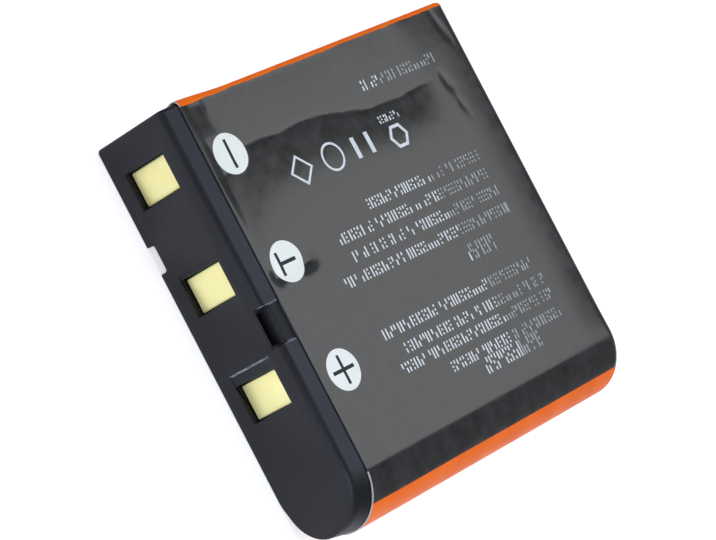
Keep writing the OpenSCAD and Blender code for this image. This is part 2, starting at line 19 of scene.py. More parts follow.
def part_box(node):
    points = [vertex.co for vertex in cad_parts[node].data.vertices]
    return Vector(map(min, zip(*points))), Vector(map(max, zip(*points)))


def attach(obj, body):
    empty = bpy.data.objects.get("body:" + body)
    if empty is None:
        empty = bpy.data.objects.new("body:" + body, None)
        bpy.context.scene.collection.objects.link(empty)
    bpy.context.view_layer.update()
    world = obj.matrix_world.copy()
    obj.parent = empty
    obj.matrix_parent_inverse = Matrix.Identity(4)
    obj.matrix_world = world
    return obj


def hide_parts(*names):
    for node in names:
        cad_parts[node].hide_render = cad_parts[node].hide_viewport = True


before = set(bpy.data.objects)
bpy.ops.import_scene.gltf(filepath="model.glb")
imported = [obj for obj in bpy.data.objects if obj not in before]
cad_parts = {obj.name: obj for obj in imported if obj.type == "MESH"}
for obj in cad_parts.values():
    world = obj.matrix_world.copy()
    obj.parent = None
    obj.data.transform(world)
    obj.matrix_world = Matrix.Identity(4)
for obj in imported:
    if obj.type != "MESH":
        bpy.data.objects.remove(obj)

MM = 0.001
BODY = "root"
log = logging.getLogger("pack")


def ease(t: float) -> float:
    """Rise from 0 to 1 with level ends."""
    t = min(max(t, 0.0), 1.0)
    return t * t * (3 - 2 * t)


def ripple(place: float, pitch: float, seed: float) -> float:
    """Seeded smooth noise between about -1 and 1 along one line.

    Args:
        place: Distance along the line.
        pitch: Distance over which the noise changes.
        seed: Picks the line.

    Returns:
        The noise at that place.
    """
    return noise.noise(Vector((place / pitch, seed, 0.5 * seed)))


def path_value(x: float, stops: tuple[tuple[float, float], ...]) -> float:
    """Value on a line of straight runs, level past its ends.

    Args:
        x: Where to read it.
        stops: Pairs of place and value, in rising order of place.

    Returns:
        The value at x.
    """
    if x <= stops[0][0]:
        return stops[0][1]
    for (x0, y0), (x1, y1) in zip(stops, stops[1:]):
        if x <= x1:
            return y0 + (y1 - y0) * (x - x0) / (x1 - x0)
    return stops[-1][1]


# Finishes


class Grain(Enum):
    """How many times finer the small pattern runs along X, Y and Z."""

    EVEN = (1.0, 1.0, 1.0)
    DRAWN = (1.0, 0.06, 1.0)
    ROLLED = (0.08, 1.0, 1.0)
    LAYERED = (0.05, 0.05, 3.0)


def new_group(name: str, inputs: dict[str, str], outputs: dict[str, str]) -> bpy.types.NodeTree:
    """Start a shader node group.

    Args:
        name: The group's name.
        inputs: Socket types by input name.
        outputs: Socket types by output name.

    Returns:
        The empty group with its sockets and its input and output nodes.
    """
    group = bpy.data.node_groups.new(name, "ShaderNodeTree")
    for label, kind in inputs.items():
        group.interface.new_socket(name=label, in_out="INPUT", socket_type=kind)
    for label, kind in outputs.items():
        group.interface.new_socket(name=label, in_out="OUTPUT", socket_type=kind)
    group.nodes.new("NodeGroupInput")
    group.nodes.new("NodeGroupOutput")
    return group


def add_noise(tree: bpy.types.NodeTree, vector: bpy.types.NodeSocket, size: bpy.types.NodeSocket,
              detail: float, rough: float) -> bpy.types.Node:
    """Add a noise node whose scale is one over a size.

    Args:
        tree: Where the node goes.
        vector: Socket that feeds its place.
        size: Socket that feeds the size of the pattern.
        detail: Octaves of the noise.
        rough: Strength of the finer octaves.

    Returns:
        The noise node.
    """
    scale = tree.nodes.new("ShaderNodeMath")
    scale.operation = "DIVIDE"
    scale.inputs[0].default_value = 1.0
    tree.links.new(size, scale.inputs[1])
    made = tree.nodes.new("ShaderNodeTexNoise")
    made.inputs["Detail"].default_value = detail
    made.inputs["Roughness"].default_value = rough
    tree.links.new(vector, made.inputs["Vector"])
    tree.links.new(scale.outputs[0], made.inputs["Scale"])
    return made


def blotch_group() -> bpy.types.NodeTree:
    """Soft cloudy mask for handling and uneven colour: Vector and Size in, Mask out.

    Returns:
        The shared group, built on the first call.
    """
    if "handling_blotches" in bpy.data.node_groups:
        return bpy.data.node_groups["handling_blotches"]
    group = new_group(
        "handling_blotches",
        {"Vector": "NodeSocketVector", "Size": "NodeSocketFloat"},
        {"Mask": "NodeSocketFloat"},
    )
    source, sink = group.nodes["Group Input"], group.nodes["Group Output"]
    clouds = add_noise(group, source.outputs["Vector"], source.outputs["Size"], 3.0, 0.55)
    spread = group.nodes.new("ShaderNodeMapRange")
    spread.inputs["From Min"].default_value = 0.32
    spread.inputs["From Max"].default_value = 0.68
    group.links.new(clouds.outputs["Fac"], spread.inputs["Value"])
    group.links.new(spread.outputs["Result"], sink.inputs["Mask"])
    return group


def grain_group() -> bpy.types.NodeTree:
    """Fine tooled or moulded grain: Vector and Size in, Height and Speck out.

    Returns:
        The shared group, built on the first call.
    """
    if "fine_grain" in bpy.data.node_groups:
        return bpy.data.node_groups["fine_grain"]
    group = new_group(
        "fine_grain",
        {"Vector": "NodeSocketVector", "Size": "NodeSocketFloat"},
        {"Height": "NodeSocketFloat", "Speck": "NodeSocketFloat"},
    )
    source, sink = group.nodes["Group Input"], group.nodes["Group Output"]
    fine = add_noise(group, source.outputs["Vector"], source.outputs["Size"], 2.0, 0.6)
    group.links.new(fine.outputs["Fac"], sink.inputs["Height"])
    speck = group.nodes.new("ShaderNodeMapRange")
    speck.inputs["From Min"].default_value = 0.62
    speck.inputs["From Max"].default_value = 0.74
    group.links.new(fine.outputs["Fac"], speck.inputs["Value"])
    group.links.new(speck.outputs["Result"], sink.inputs["Speck"])
    return group


@dataclass(frozen=True)
class Finish:
    """A procedural finish of one material slot, with linear colours and sizes in millimetres."""

    name: str
    colour: tuple[float, float, float]
    shade: tuple[float, float, float]
    roughness: float
    rough_swing: float = 0.06
    metallic: float = 0.0
    specular: float = 0.5
    blotch_size: float = 5.0
    grain_size: float = 0.12
    grain_height: float = 0.004
    speck: tuple[float, float, float] | None = None
    grain: Grain = Grain.EVEN

    def material(self) -> bpy.types.Material:
        """Build the material once, or give the one already built.

        Returns:
            The material of this finish.
        """
        label = self.name + "_finish"
        if label in bpy.data.materials:
            return bpy.data.materials[label]
        made = bpy.data.materials.new(label)
        made.use_nodes = True
        tree = made.node_tree
        shader = tree.nodes["Principled BSDF"]
        shader.inputs["Metallic"].default_value = self.metallic
        shader.inputs["Specular IOR Level"].default_value = self.specular
        place = tree.nodes.new("ShaderNodeTexCoord")
        in_mm = tree.nodes.new("ShaderNodeMapping")
        in_mm.inputs["Scale"].default_value = (1 / MM, 1 / MM, 1 / MM)
        run = tree.nodes.new("ShaderNodeMapping")
        run.inputs["Scale"].default_value = self.grain.value
        tree.links.new(place.outputs["Object"], in_mm.inputs["Vector"])
        tree.links.new(in_mm.outputs["Vector"], run.inputs["Vector"])
        blotches = self._effect(tree, blotch_group(), in_mm, self.blotch_size)
        grain = self._effect(tree, grain_group(), run, self.grain_size)
        colour = self._mix(tree, blotches.outputs["Mask"], self.colour, self.shade)
        if self.speck:
            colour = self._mix(tree, grain.outputs["Speck"], colour, self.speck)
        tree.links.new(colour, shader.inputs["Base Color"])
        gloss = tree.nodes.new("ShaderNodeMapRange")
        gloss.inputs["To Min"].default_value = self.roughness - self.rough_swing / 2
        gloss.inputs["To Max"].default_value = self.roughness + self.rough_swing / 2
        tree.links.new(blotches.outputs["Mask"], gloss.inputs["Value"])
        tree.links.new(gloss.outputs["Result"], shader.inputs["Roughness"])
        bump = tree.nodes.new("ShaderNodeBump")
        bump.inputs["Distance"].default_value = self.grain_height * MM
        tree.links.new(grain.outputs["Height"], bump.inputs["Height"])
        tree.links.new(bump.outputs["Normal"], shader.inputs["Normal"])
        return made

    @staticmethod
    def _effect(tree: bpy.types.NodeTree, group: bpy.types.NodeTree, vector: bpy.types.Node,
                size: float) -> bpy.types.Node:
        """Place a shared effect with its own pattern size.

        Args:
            tree: The material's nodes.
            group: The shared node group.
            vector: Mapping node that feeds it.
            size: Size of the pattern in millimetres.

        Returns:
            The group node.
        """
        made = tree.nodes.new("ShaderNodeGroup")
        made.node_tree = group
        made.inputs["Size"].default_value = size
        tree.links.new(vector.outputs["Vector"], made.inputs["Vector"])
        return made

    @staticmethod
    def _mix(tree: bpy.types.NodeTree, mask: bpy.types.NodeSocket,
             low: tuple[float, float, float] | bpy.types.NodeSocket,
             high: tuple[float, float, float]) -> bpy.types.NodeSocket:
        """Blend two colours by a mask.

        Args:
            tree: The material's nodes.
            mask: Socket with the share of the second colour.
            low: First colour, or a socket that gives it.
            high: Second colour.

        Returns:
            The socket with the blended colour.
        """
        mix = tree.nodes.new("ShaderNodeMix")
        mix.data_type = "RGBA"
        tree.links.new(mask, mix.inputs["Factor"])
        if isinstance(low, tuple):
            mix.inputs[6].default_value = (*low, 1)
        else:
            tree.links.new(low, mix.inputs[6])
        mix.inputs[7].default_value = (*high, 1)
        return mix.outputs[2]


CAP_PLASTIC = Finish("cap_plastic", (0.0085, 0.0085, 0.010), (0.0115, 0.012, 0.015), 0.44,
                     specular=0.22, grain_size=0.09, grain_height=0.006)
# Pale edge colour: a painted highlight on thin edges of the moulded end.
CAP_PAINTED_HIGHLIGHT = Finish("cap_painted_edge_highlight", (0.30, 0.31, 0.33), (0.07, 0.07, 0.08), 0.4, blotch_size=0.7)
FRAME_PLASTIC = Finish("frame_plastic", (0.012, 0.012, 0.013), (0.018, 0.018, 0.019), 0.5,
                       grain_size=0.2)
FILM_BLACK = Finish("label_black", (0.013, 0.014, 0.014), (0.028, 0.029, 0.029), 0.14, rough_swing=0.05,
                    blotch_size=1.6, grain_size=0.5, grain_height=0.0006)
FILM_BLACK_CUT = Finish("film_black_cut_edge", (0.06, 0.06, 0.065), (0.03, 0.03, 0.033), 0.4,
                        blotch_size=0.8)
FILM_ORANGE = Finish("label_orange", (0.92, 0.17, 0.013), (0.84, 0.14, 0.010), 0.38, specular=0.03,
                     blotch_size=3.0, grain_size=0.5, grain_height=0.0006)
# Pale cut edge of the orange film, also used as a painted highlight along the films' front edge on the
# round side.
FILM_CUT_AND_HIGHLIGHT = Finish("film_cut_edge_and_highlight", (0.62, 0.58, 0.53), (0.42, 0.36, 0.31), 0.5, blotch_size=0.8)
SIGN_INK = Finish("sign_ink", (0.022, 0.027, 0.027), (0.030, 0.035, 0.035), 0.6, specular=0.2)
MARK_INK = Finish("mark_ink", (0.87, 0.89, 0.81), (0.82, 0.85, 0.77), 0.4, grain_size=0.25)
PRINT_INK = Finish("print_ink", (0.78, 0.83, 0.83), (0.62, 0.67, 0.67), 0.42, blotch_size=0.6,
                   grain_size=0.15, grain_height=0.002)
PRINT_WORN = Finish("print_ink_worn", (0.40, 0.43, 0.43), (0.28, 0.31, 0.31), 0.42, blotch_size=0.5,
                    grain_size=0.15, grain_height=0.002)
CONTACT_GOLD = Finish("contact_gold", (0.99, 0.90, 0.40), (0.97, 0.87, 0.37), 0.40, metallic=0.42,
                      blotch_size=1.2, grain_size=0.10, grain_height=0.0015, speck=(0.97, 0.93, 0.66))
CELL_METAL = Finish("cell_metal", (0.62, 0.63, 0.65), (0.55, 0.56, 0.58), 0.3, metallic=1.0,
                    grain_size=0.15, grain=Grain.DRAWN)
NICKEL = Finish("nickel", (0.64, 0.61, 0.55), (0.56, 0.53, 0.48), 0.28, metallic=1.0, grain=Grain.ROLLED)
BOARD = Finish("board_laminate", (0.006, 0.045, 0.018), (0.005, 0.035, 0.014), 0.35, grain_size=0.3)
CHIP_RESIN = Finish("chip_resin", (0.010, 0.010, 0.011), (0.016, 0.016, 0.017), 0.55)
CHIP_CERAMIC = Finish("chip_ceramic", (0.20, 0.14, 0.09), (0.15, 0.10, 0.07), 0.45)
PAPER = Finish("insulator_paper", (0.78, 0.72, 0.56), (0.70, 0.64, 0.49), 0.8, grain_size=0.08,
               grain_height=0.01)
SEAL_PLASTIC = Finish("seal_plastic", (0.72, 0.74, 0.72), (0.66, 0.68, 0.66), 0.45)
WINDING = Finish("winding_foil", (0.035, 0.035, 0.04), (0.05, 0.05, 0.055), 0.5, grain=Grain.LAYERED)
TAPE = Finish("tape", (0.80, 0.80, 0.77), (0.74, 0.74, 0.70), 0.6, grain_height=0.008)

INNER_FINISHES = {
    "circuit_board": BOARD,
    "protection_chip": CHIP_RESIN,
    "switch_transistors": CHIP_RESIN,
    "chip_resistors": CHIP_CERAMIC,
    "chip_capacitors": CHIP_CERAMIC,
    "thermistor": CHIP_CERAMIC,
    "resettable_fuse": NICKEL,
    "negative_tab": NICKEL,
    "positive_tab": NICKEL,
    "lid_insulator": PAPER,
    "cell_can": CELL_METAL,
    "cell_lid": CELL_METAL,
    "rivet_terminal": CELL_METAL,
    "collector_plate": CELL_METAL,
    "fill_plug": CELL_METAL,
    "rivet_gasket": SEAL_PLASTIC,
    "winding_cover": SEAL_PLASTIC,
    "electrode_winding": WINDING,
    "side_frame": FRAME_PLASTIC,
    "adhesive_tape": TAPE,
}


# Building aids


def finish_piece(bm: bmesh.types.BMesh, name: str, finishes: list[Finish],
                 sharp_deg: float = 35.0) -> bpy.types.Object:
    """Turn a bmesh into a piece of the pack.

    Args:
        bm: The finished mesh; it is freed.
        name: The piece's name.
        finishes: Its materials, in slot order.
        sharp_deg: Edges that turn by more than this stay sharp.

    Returns:
        The new object, which rides on the pack.
    """
    mesh = bpy.data.meshes.new(name)
    open_edges = [edge.is_boundary for edge in bm.edges]
    bm.to_mesh(mesh)
    bm.free()
    for polygon in mesh.polygons:
        polygon.use_smooth = True
    mesh.set_sharp_from_angle(angle=math.radians(sharp_deg))
    for edge, is_open in zip(mesh.edges, open_edges):
        if is_open:
            edge.use_edge_sharp = True
    for one in finishes:
        mesh.materials.append(one.material())
    piece = bpy.data.objects.new(name, mesh)
    bpy.context.scene.collection.objects.link(piece)
    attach(piece, BODY)
    log.info("%s: %d faces", name, len(mesh.polygons))
    return piece


def merged_copy(node: str) -> bmesh.types.BMesh:
    """Copy a CAD node's loose triangles and join them into one skin with flat faces.

    Args:
        node: The node's name.

    Returns:
        The joined mesh.
    """
    bm = bmesh.new()
    bm.from_mesh(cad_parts[node].data)
    bmesh.ops.remove_doubles(bm, verts=bm.verts, dist=0.0005 * MM)
    bmesh.ops.dissolve_limit(bm, angle_limit=math.radians(0.4), verts=bm.verts, edges=bm.edges)
    return bm


def soften_edges(bm: bmesh.types.BMesh, width: float, least_deg: float,
                 start: float = -1e3, end: float = 1e3) -> list[bmesh.types.BMFace]:
    """Round the sharp edges of a mesh.

    Args:
        bm: The mesh.
        width: Width of the rounding in millimetres.
        least_deg: Edges that turn by less than this are left.
        start: Only edges that lie wholly beyond this Y are rounded, in millimetres.
        end: Only edges that start before this Y are rounded, in millimetres.

    Returns:
        The faces of the rounding.
    """
    sharp = [
        e for e in bm.edges
        if len(e.link_faces) == 2 and e.calc_face_angle() > math.radians(least_deg)
        and min(v.co.y for v in e.verts) > start * MM and min(v.co.y for v in e.verts) < end * MM
    ]
    made = bmesh.ops.bevel(bm, geom=sharp, offset=width * MM, offset_type="OFFSET", affect="EDGES",
                           segments=2, profile=0.5, material=-1, clamp_overlap=False)
    return made["faces"]


# Form of the films


@dataclass(frozen=True)
class PackForm:
    """Outer form of the films, read from the frame where it can be, in millimetres."""

    width: float
    depth: float
    thick: float
    film_start: float
    side_r: float = 0.5
    far_r: float = 1.0
    far_lap: float = 0.9
    film_t: float = 0.12

    @classmethod
    def from_frame(cls) -> "PackForm":
        """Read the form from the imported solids.

        Returns:
            The form, with the solids' outer sizes.
        """
        low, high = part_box("rear_label")
        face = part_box("end_cap")[0]
        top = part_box("front_label")[1]
        return cls((high.x - low.x) / MM, (high.y - face.y) / MM, (top.z - low.z) / MM,
                   (low.y - face.y) / MM)

    @property
    def corner(self) -> float:
        """Length of the rounding of a long edge on the square side."""
        return self.side_r * math.pi / 2

    @property
    def flat(self) -> float:
        """Width of a large face between its two roundings."""
        return self.width - self.side_r - self.thick / 2

    @property
    def girth(self) -> float:
        """Distance once round the section."""
        arc = math.pi * self.thick / 2
        return 2 * self.corner + 2 * self.flat + arc + self.thick - 2 * self.side_r

    @property
    def reach(self) -> float:
        """Distance along the sheet from the terminal face to the end of its far lap."""
        return self.depth - self.far_r + self.far_r * math.pi / 2 + self.far_lap

    def across_top(self, x: float) -> float:
        """Distance round the section to a place on the printed face, from the square side."""
        return self.corner + x - self.side_r

    def down_round(self, degrees: float) -> float:
        """Distance round the section to an angle above the middle plane on the round side."""
        return self.corner + self.flat + math.radians(90 - degrees) * self.thick / 2

    def row(self, v: float) -> tuple[float, float, float]:
        """Follow the sheet away from the terminal face and over the far edge.

        Args:
            v: Distance along the sheet.

        Returns:
            Inset of the section, depth behind the terminal face, and lean of the surface.
        """
        turn = self.depth - self.far_r
        if v <= turn:
            return 0.0, v, 0.0
        lean = (v - turn) / self.far_r
        if lean < math.pi / 2:
            return self.far_r * (1 - math.cos(lean)), turn + self.far_r * math.sin(lean), lean
        return self.far_r * (1 + lean - math.pi / 2), self.depth, math.pi / 2

    def section(self, s: float, inset: float) -> tuple[float, float, float, float]:
        """Follow the sheet round the pack, from the top of the square side over the printed face.

        Args:
            s: Distance round the section.
            inset: How far the section is set in.

        Returns:
            X, Z and the outward direction in X and Z.
        """
        half, left = self.thick / 2, -self.width / 2
        keep, bend = max(self.side_r, inset), max(self.side_r - inset, 0.0)
        s = s % self.girth
        if s < self.corner:
            turn = math.pi - s / self.side_r
            c, d = math.cos(turn), math.sin(turn)
            return left + keep + bend * c, self.thick - keep + bend * d, c, d
        s -= self.corner
        if s < self.flat:
            return max(left + self.side_r + s, left + keep), self.thick - inset, 0.0, 1.0
        s -= self.flat
        if s < math.pi * half:
            turn = math.pi / 2 - s / half
            c, d = math.cos(turn), math.sin(turn)
            return self.width / 2 - half + (half - inset) * c, half + (half - inset) * d, c, d
        s -= math.pi * half
        if s < self.flat:
            return max(self.width / 2 - half - s, left + keep), inset, 0.0, -1.0
        s -= self.flat
        if s < self.corner:
            turn = -math.pi / 2 - s / self.side_r
            c, d = math.cos(turn), math.sin(turn)
            return left + keep + bend * c, keep + bend * d, c, d
        s -= self.corner
        return left + inset, min(max(self.side_r + s, keep), self.thick - keep), -1.0, 0.0

    def place(self, s: float, v: float, lift: float = 0.0) -> Vector:
        """Point on the sheet.

        Args:
            s: Distance round the section.
            v: Distance along the sheet.
            lift: Height above the nominal surface.

        Returns:
            The point in metres.
        """
        inset, depth, lean = self.row(v)
        x, z, out_x, out_z = self.section(s, inset)
        out = lift * math.cos(lean)
        y = depth - self.depth / 2 + lift * math.sin(lean)
        return Vector((x + out_x * out, y, z + out_z * out)) * MM


@dataclass(frozen=True)
class Dent:
    """A shallow dent or, with a negative depth, a blister in the film, in millimetres."""

    across: float
    along: float
    half_across: float
    half_along: float
    depth: float
    turn_deg: float = 0.0

    def height(self, x: float, y: float) -> float:
        """Height of the film at a place, from this dent alone.

        Args:
            x: Place from the square side.
            y: Depth behind the terminal face.

        Returns:
            The height in millimetres.
        """
        turn = math.radians(self.turn_deg)
        dx, dy = x - self.across, y - self.along
        u = (dx * math.cos(turn) + dy * math.sin(turn)) / self.half_across
        w = (dy * math.cos(turn) - dx * math.sin(turn)) / self.half_along
        return -self.depth * math.exp(-u * u - w * w)


@dataclass(frozen=True)
class FilmRelief:
    """What shows through the printed film: the frame's inner edge, the cell and small dents.

    The film sinks by fall over frame_run up to rail_edge. It climbs back over the cell with an even
    slope for hold, which is longer near the cap, and levels out over run. A crease marks the edge, the
    far edge droops and the corner by the minus disc dips. slack and pucker are its wide and fine waves.
    """

    form: PackForm
    rail_edge: tuple[tuple[float, float], ...] = (
        (2.0, 7.4), (3.0, 7.1), (5.0, 6.2), (6.5, 5.55), (8.2, 5.45), (11.0, 5.65), (14.0, 5.4),
        (17.0, 5.6), (20.0, 6.3), (23.0, 6.7), (27.0, 6.7), (30.0, 6.5), (33.0, 6.7),
    )
    step_end: float = 29.0
    step_fade: float = 3.6
    edge_ripple: float = 0.12
    fall: float = 0.137
    frame_run: float = 7.0
    hold: float = 1.6
    cap_hold: float = 4.6
    cap_hold_run: float = 4.0
    run: float = 4.0
    crease: float = 0.02
    crease_w: float = 0.2
    droop: float = 0.058
    droop_run: float = 4.0
    dip: float = 0.11
    dip_across: float = 3.7
    dip_end: float = 4.0
    dip_fade: float = 0.7
    slack: float = 0.006
    pucker: float = 0.0012
    side_fade: float = 0.8
    round_fade: float = 4.0
    start_fade: float = 1.2
    dents: tuple[Dent, ...] = (
        Dent(16.75, 4.6, 0.5, 2.5, 0.035, 0),
        Dent(16.4, 6.8, 0.8, 1.15, 0.13, 15),
        Dent(16.6, 2.4, 0.8, 0.9, 0.11, 0),
        Dent(7.3, 33.4, 1.0, 0.42, 0.045, 14),
        Dent(9.7, 33.9, 0.9, 0.35, 0.022, 10),
        Dent(2.3, 36.1, 1.6, 0.35, 0.05, 14),
    )

    def height(self, x: float, y: float) -> float:
        """Height of the film over its nominal surface on the printed face.

        Args:
            x: Place from the square side.
            y: Depth behind the terminal face.

        Returns:
            The height in millimetres.
        """
        d = x - path_value(y, self.rail_edge) + self.edge_ripple * ripple(x + y, 1.3, 3.0)
        level = -self.fall * (1 - min(-min(d, 0.0) / self.frame_run, 1.0))
        if d > 0:
            hold = self.hold + self.cap_hold * math.exp(-(y - 2) / self.cap_hold_run)
            t = min(max(d - hold, 0.0) / self.run, 1.0)
            climbed = min(d, hold) + self.run * (t - t**3 + t**4 / 2)
            level += self.fall * climbed / (hold + self.run / 2)
        depth = self.crease * (0.75 + 0.5 * ripple(x - y, 3.0, 5.0))
        level -= depth * math.exp(-(d / self.crease_w) ** 2)
        level *= ease(1 - (y - self.step_end) / self.step_fade)
        beyond = ease(1 - (y - self.dip_end) / self.dip_fade)
        level -= self.dip * max(0.0, 1 - x / self.dip_across) * beyond
        level -= self.droop * max(0.0, (y - self.form.depth + self.form.far_r) / self.droop_run + 1) ** 2
        wave = self.slack * noise.noise(Vector((x / 5.0, y / 6.0, 2.0)))
        wave += self.pucker * noise.noise(Vector((x / 1.1, y / 1.3, 7.0)))
        return level + wave + sum(one.height(x, y) for one in self.dents)

    def lift(self, s: float, v: float) -> float:
        """Height of the film at a place on the sheet, fading out over its edges.

        Args:
            s: Distance round the section.
            v: Distance along the sheet.

        Returns:
            The height in millimetres.
        """
        form = self.form
        x = s - form.corner + form.side_r
        if not 0 <= x <= form.flat + form.side_r + self.round_fade:
            return 0.0
        _, depth, lean = form.row(v)
        fade = math.cos(lean) ** 2 * ease((x + 0.1) / self.side_fade)
        fade *= ease(0.5 - (x - form.flat) / self.round_fade)
        fade *= ease((v - form.film_start) / self.start_fade)
        return fade * self.height(x, depth)


# The two films


@dataclass
class FilmWrap:
    """The printed film on the large face and the orange film round the rest of the pack.

    Both start front_gain before the solids' films, which narrows the groove by the cap. Their first row,
    cut_w deep, is the cut edge; on the round side, from the given angle down, it is coloured pale as a
    painted highlight.
    """

    form: PackForm
    relief: FilmRelief
    edge_w: float = 0.45
    edge_wave: float = 0.07
    seam_deg: float = 46.0
    seam_wave: float = 0.03
    front_wave: float = 0.02
    front_gain: float = 0.045
    flare: float = 0.24
    flare_run: float = 6.5
    flare_band: float = 1.6
    cut_w: float = 0.075
    highlight_from_deg: float = 82.0
    rows: int = 190
    printed_columns: int = 176
    orange_columns: int = 170

    def edge(self, v: float) -> float:
        """Distance round the section at which the printed film starts by the square side."""
        wave = ripple(v, 2.2, 11.0) + 0.5 * ripple(v, 0.8, 12.0)
        return self.form.across_top(self.edge_w + self.edge_wave * wave)

    def seam(self, v: float) -> float:
        """Distance round the section at which the printed film ends on the round side."""
        return self.form.down_round(self.seam_deg) + self.seam_wave * ripple(v, 5.0, 21.0)

    def along(self, s: float, share: float) -> float:
        """Distance along the sheet of a share of its rows, from a front edge with a slight wave.

        Args:
            s: Distance round the section.
            share: Share of the rows; the first row is as narrow as the cut edge.

        Returns:
            The distance behind the terminal face.
        """
        start = self.form.film_start - self.front_gain + self.front_wave * ripple(s, 4.0, 31.0)
        first = 1 / self.rows
        if share < first:
            return start + self.cut_w * share / first
        start += self.cut_w
        return start + (share - first) / (1 - first) * (self.form.reach - start)

    def orange_lift(self, s: float, v: float) -> float:
        """Height of the orange film, which stands off the square side near the terminal end.

        Args:
            s: Distance round the section.
            v: Distance along the sheet.

        Returns:
            The height above the nominal surface.
        """
        s = s % self.form.girth
        below = self.form.girth - s if s > self.form.girth / 2 else -s
        reach = ease(1 - (v - self.form.film_start) / self.flare_run)
        band = ease(1 - abs(below - 0.1) / self.flare_band)
        return self.flare * reach * band + self.relief.lift(s, v)

    def sheet(self, name: str, columns: int, spread: Callable[[float, float], float],
              lift: Callable[[float, float], float], finishes: list[Finish],
              node: str) -> bpy.types.Object:
        """Wrap one sheet over the pack.

        Args:
            name: The piece's name.
            columns: Faces round the section.
            spread: Gives the distance round the section from a share of the columns and a row.
            lift: Gives the height of the sheet at a place.
            finishes: Materials of the face, of the cut edge, and of that edge's painted highlight on the
                round side.
            node: The CAD node that it stands for.

        Returns:
            The new piece.
        """
        bm = bmesh.new()
        bmesh.ops.create_grid(bm, x_segments=columns, y_segments=self.rows, size=0.5)
        for vert in bm.verts:
            across, share = vert.co.x + 0.5, vert.co.y + 0.5
            s = spread(across, self.form.film_start + share * (self.form.reach - self.form.film_start))
            v = self.along(s, share)
            vert.co = self.form.place(s, v, lift(s, v))
        bmesh.ops.remove_doubles(bm, verts=bm.verts, dist=0.0002 * MM)
        front = self.form.film_start - self.front_gain + 0.9 * self.cut_w - self.form.depth / 2
        turn = math.radians(self.highlight_from_deg)
        highlight_x = self.form.width / 2 - self.form.thick / 2 * (1 - math.cos(turn))
        # Front-row faces on the round side take slot 2: pale colour as a painted highlight.
        for face in bm.faces:
            middle = face.calc_center_median() / MM
            face.material_index = 2 * int(middle.y < front and middle.x > highlight_x)
        piece = finish_piece(bm, name, finishes, 60)
        wall = piece.modifiers.new("film_thickness", "SOLIDIFY")
        wall.thickness = self.form.film_t * MM
        wall.offset = -1
        wall.material_offset_rim = 1
        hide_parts(node)
        return piece

    def build(self) -> None:
        """Make both films."""

        def over_face(share: float, v: float) -> float:
            """Place of a column of the printed film."""
            return self.edge(v) + share * (self.seam(v) - self.edge(v))

        form = self.form
        arc_end = form.corner + form.flat + math.pi * form.thick / 2
        floor_end = arc_end + form.flat
        side_start = floor_end + form.corner
        side_end = side_start + form.thick - 2 * form.side_r

        def round_body(share: float, v: float) -> float:
            """Place of a column of the orange film.

            Args:
                share: Share of the columns.
                v: Distance along the sheet.

            Returns:
                The distance round the section.
            """
            stops = ((0.0, self.seam(v)), (0.28, arc_end), (0.60, floor_end), (0.66, side_start),
                     (0.90, side_end), (1.0, form.girth + self.edge(v)))
            return path_value(share, stops)

        self.sheet("printed_film", self.printed_columns, over_face, self.relief.lift,
                   [FILM_BLACK, FILM_BLACK_CUT, FILM_CUT_AND_HIGHLIGHT], "front_label")
        self.sheet("orange_film", self.orange_columns, round_body, self.orange_lift,
                   [FILM_ORANGE, FILM_CUT_AND_HIGHLIGHT, FILM_CUT_AND_HIGHLIGHT], "rear_label")


# Print on the film


class Place(Enum):
    """Where the block-printed rows lie on the face, as place across and the two depths."""

    FIRST_HEADING = (31.4, 20.4, 28.6)
    FIRST_ROW = (30.1, 16.6, 32.6)
    SECOND_ROW = (28.3, 11.0, 32.6)
    THIRD_ROW = (26.8, 12.5, 32.6)
    FOURTH_ROW = (25.0, 10.8, 32.6)
    SECOND_HEADING = (21.9, 25.2, 28.9)
    FIFTH_ROW = (19.7, 9.6, 32.8)
    SIXTH_ROW = (17.9, 12.0, 32.8)
    SEVENTH_ROW = (16.1, 11.4, 32.8)
    EIGHTH_ROW = (14.3, 16.6, 32.6)
    SMALL_ROW = (8.0, 22.9, 26.0)
    SIDE_ROW = (4.6, 23.0, 33.6)


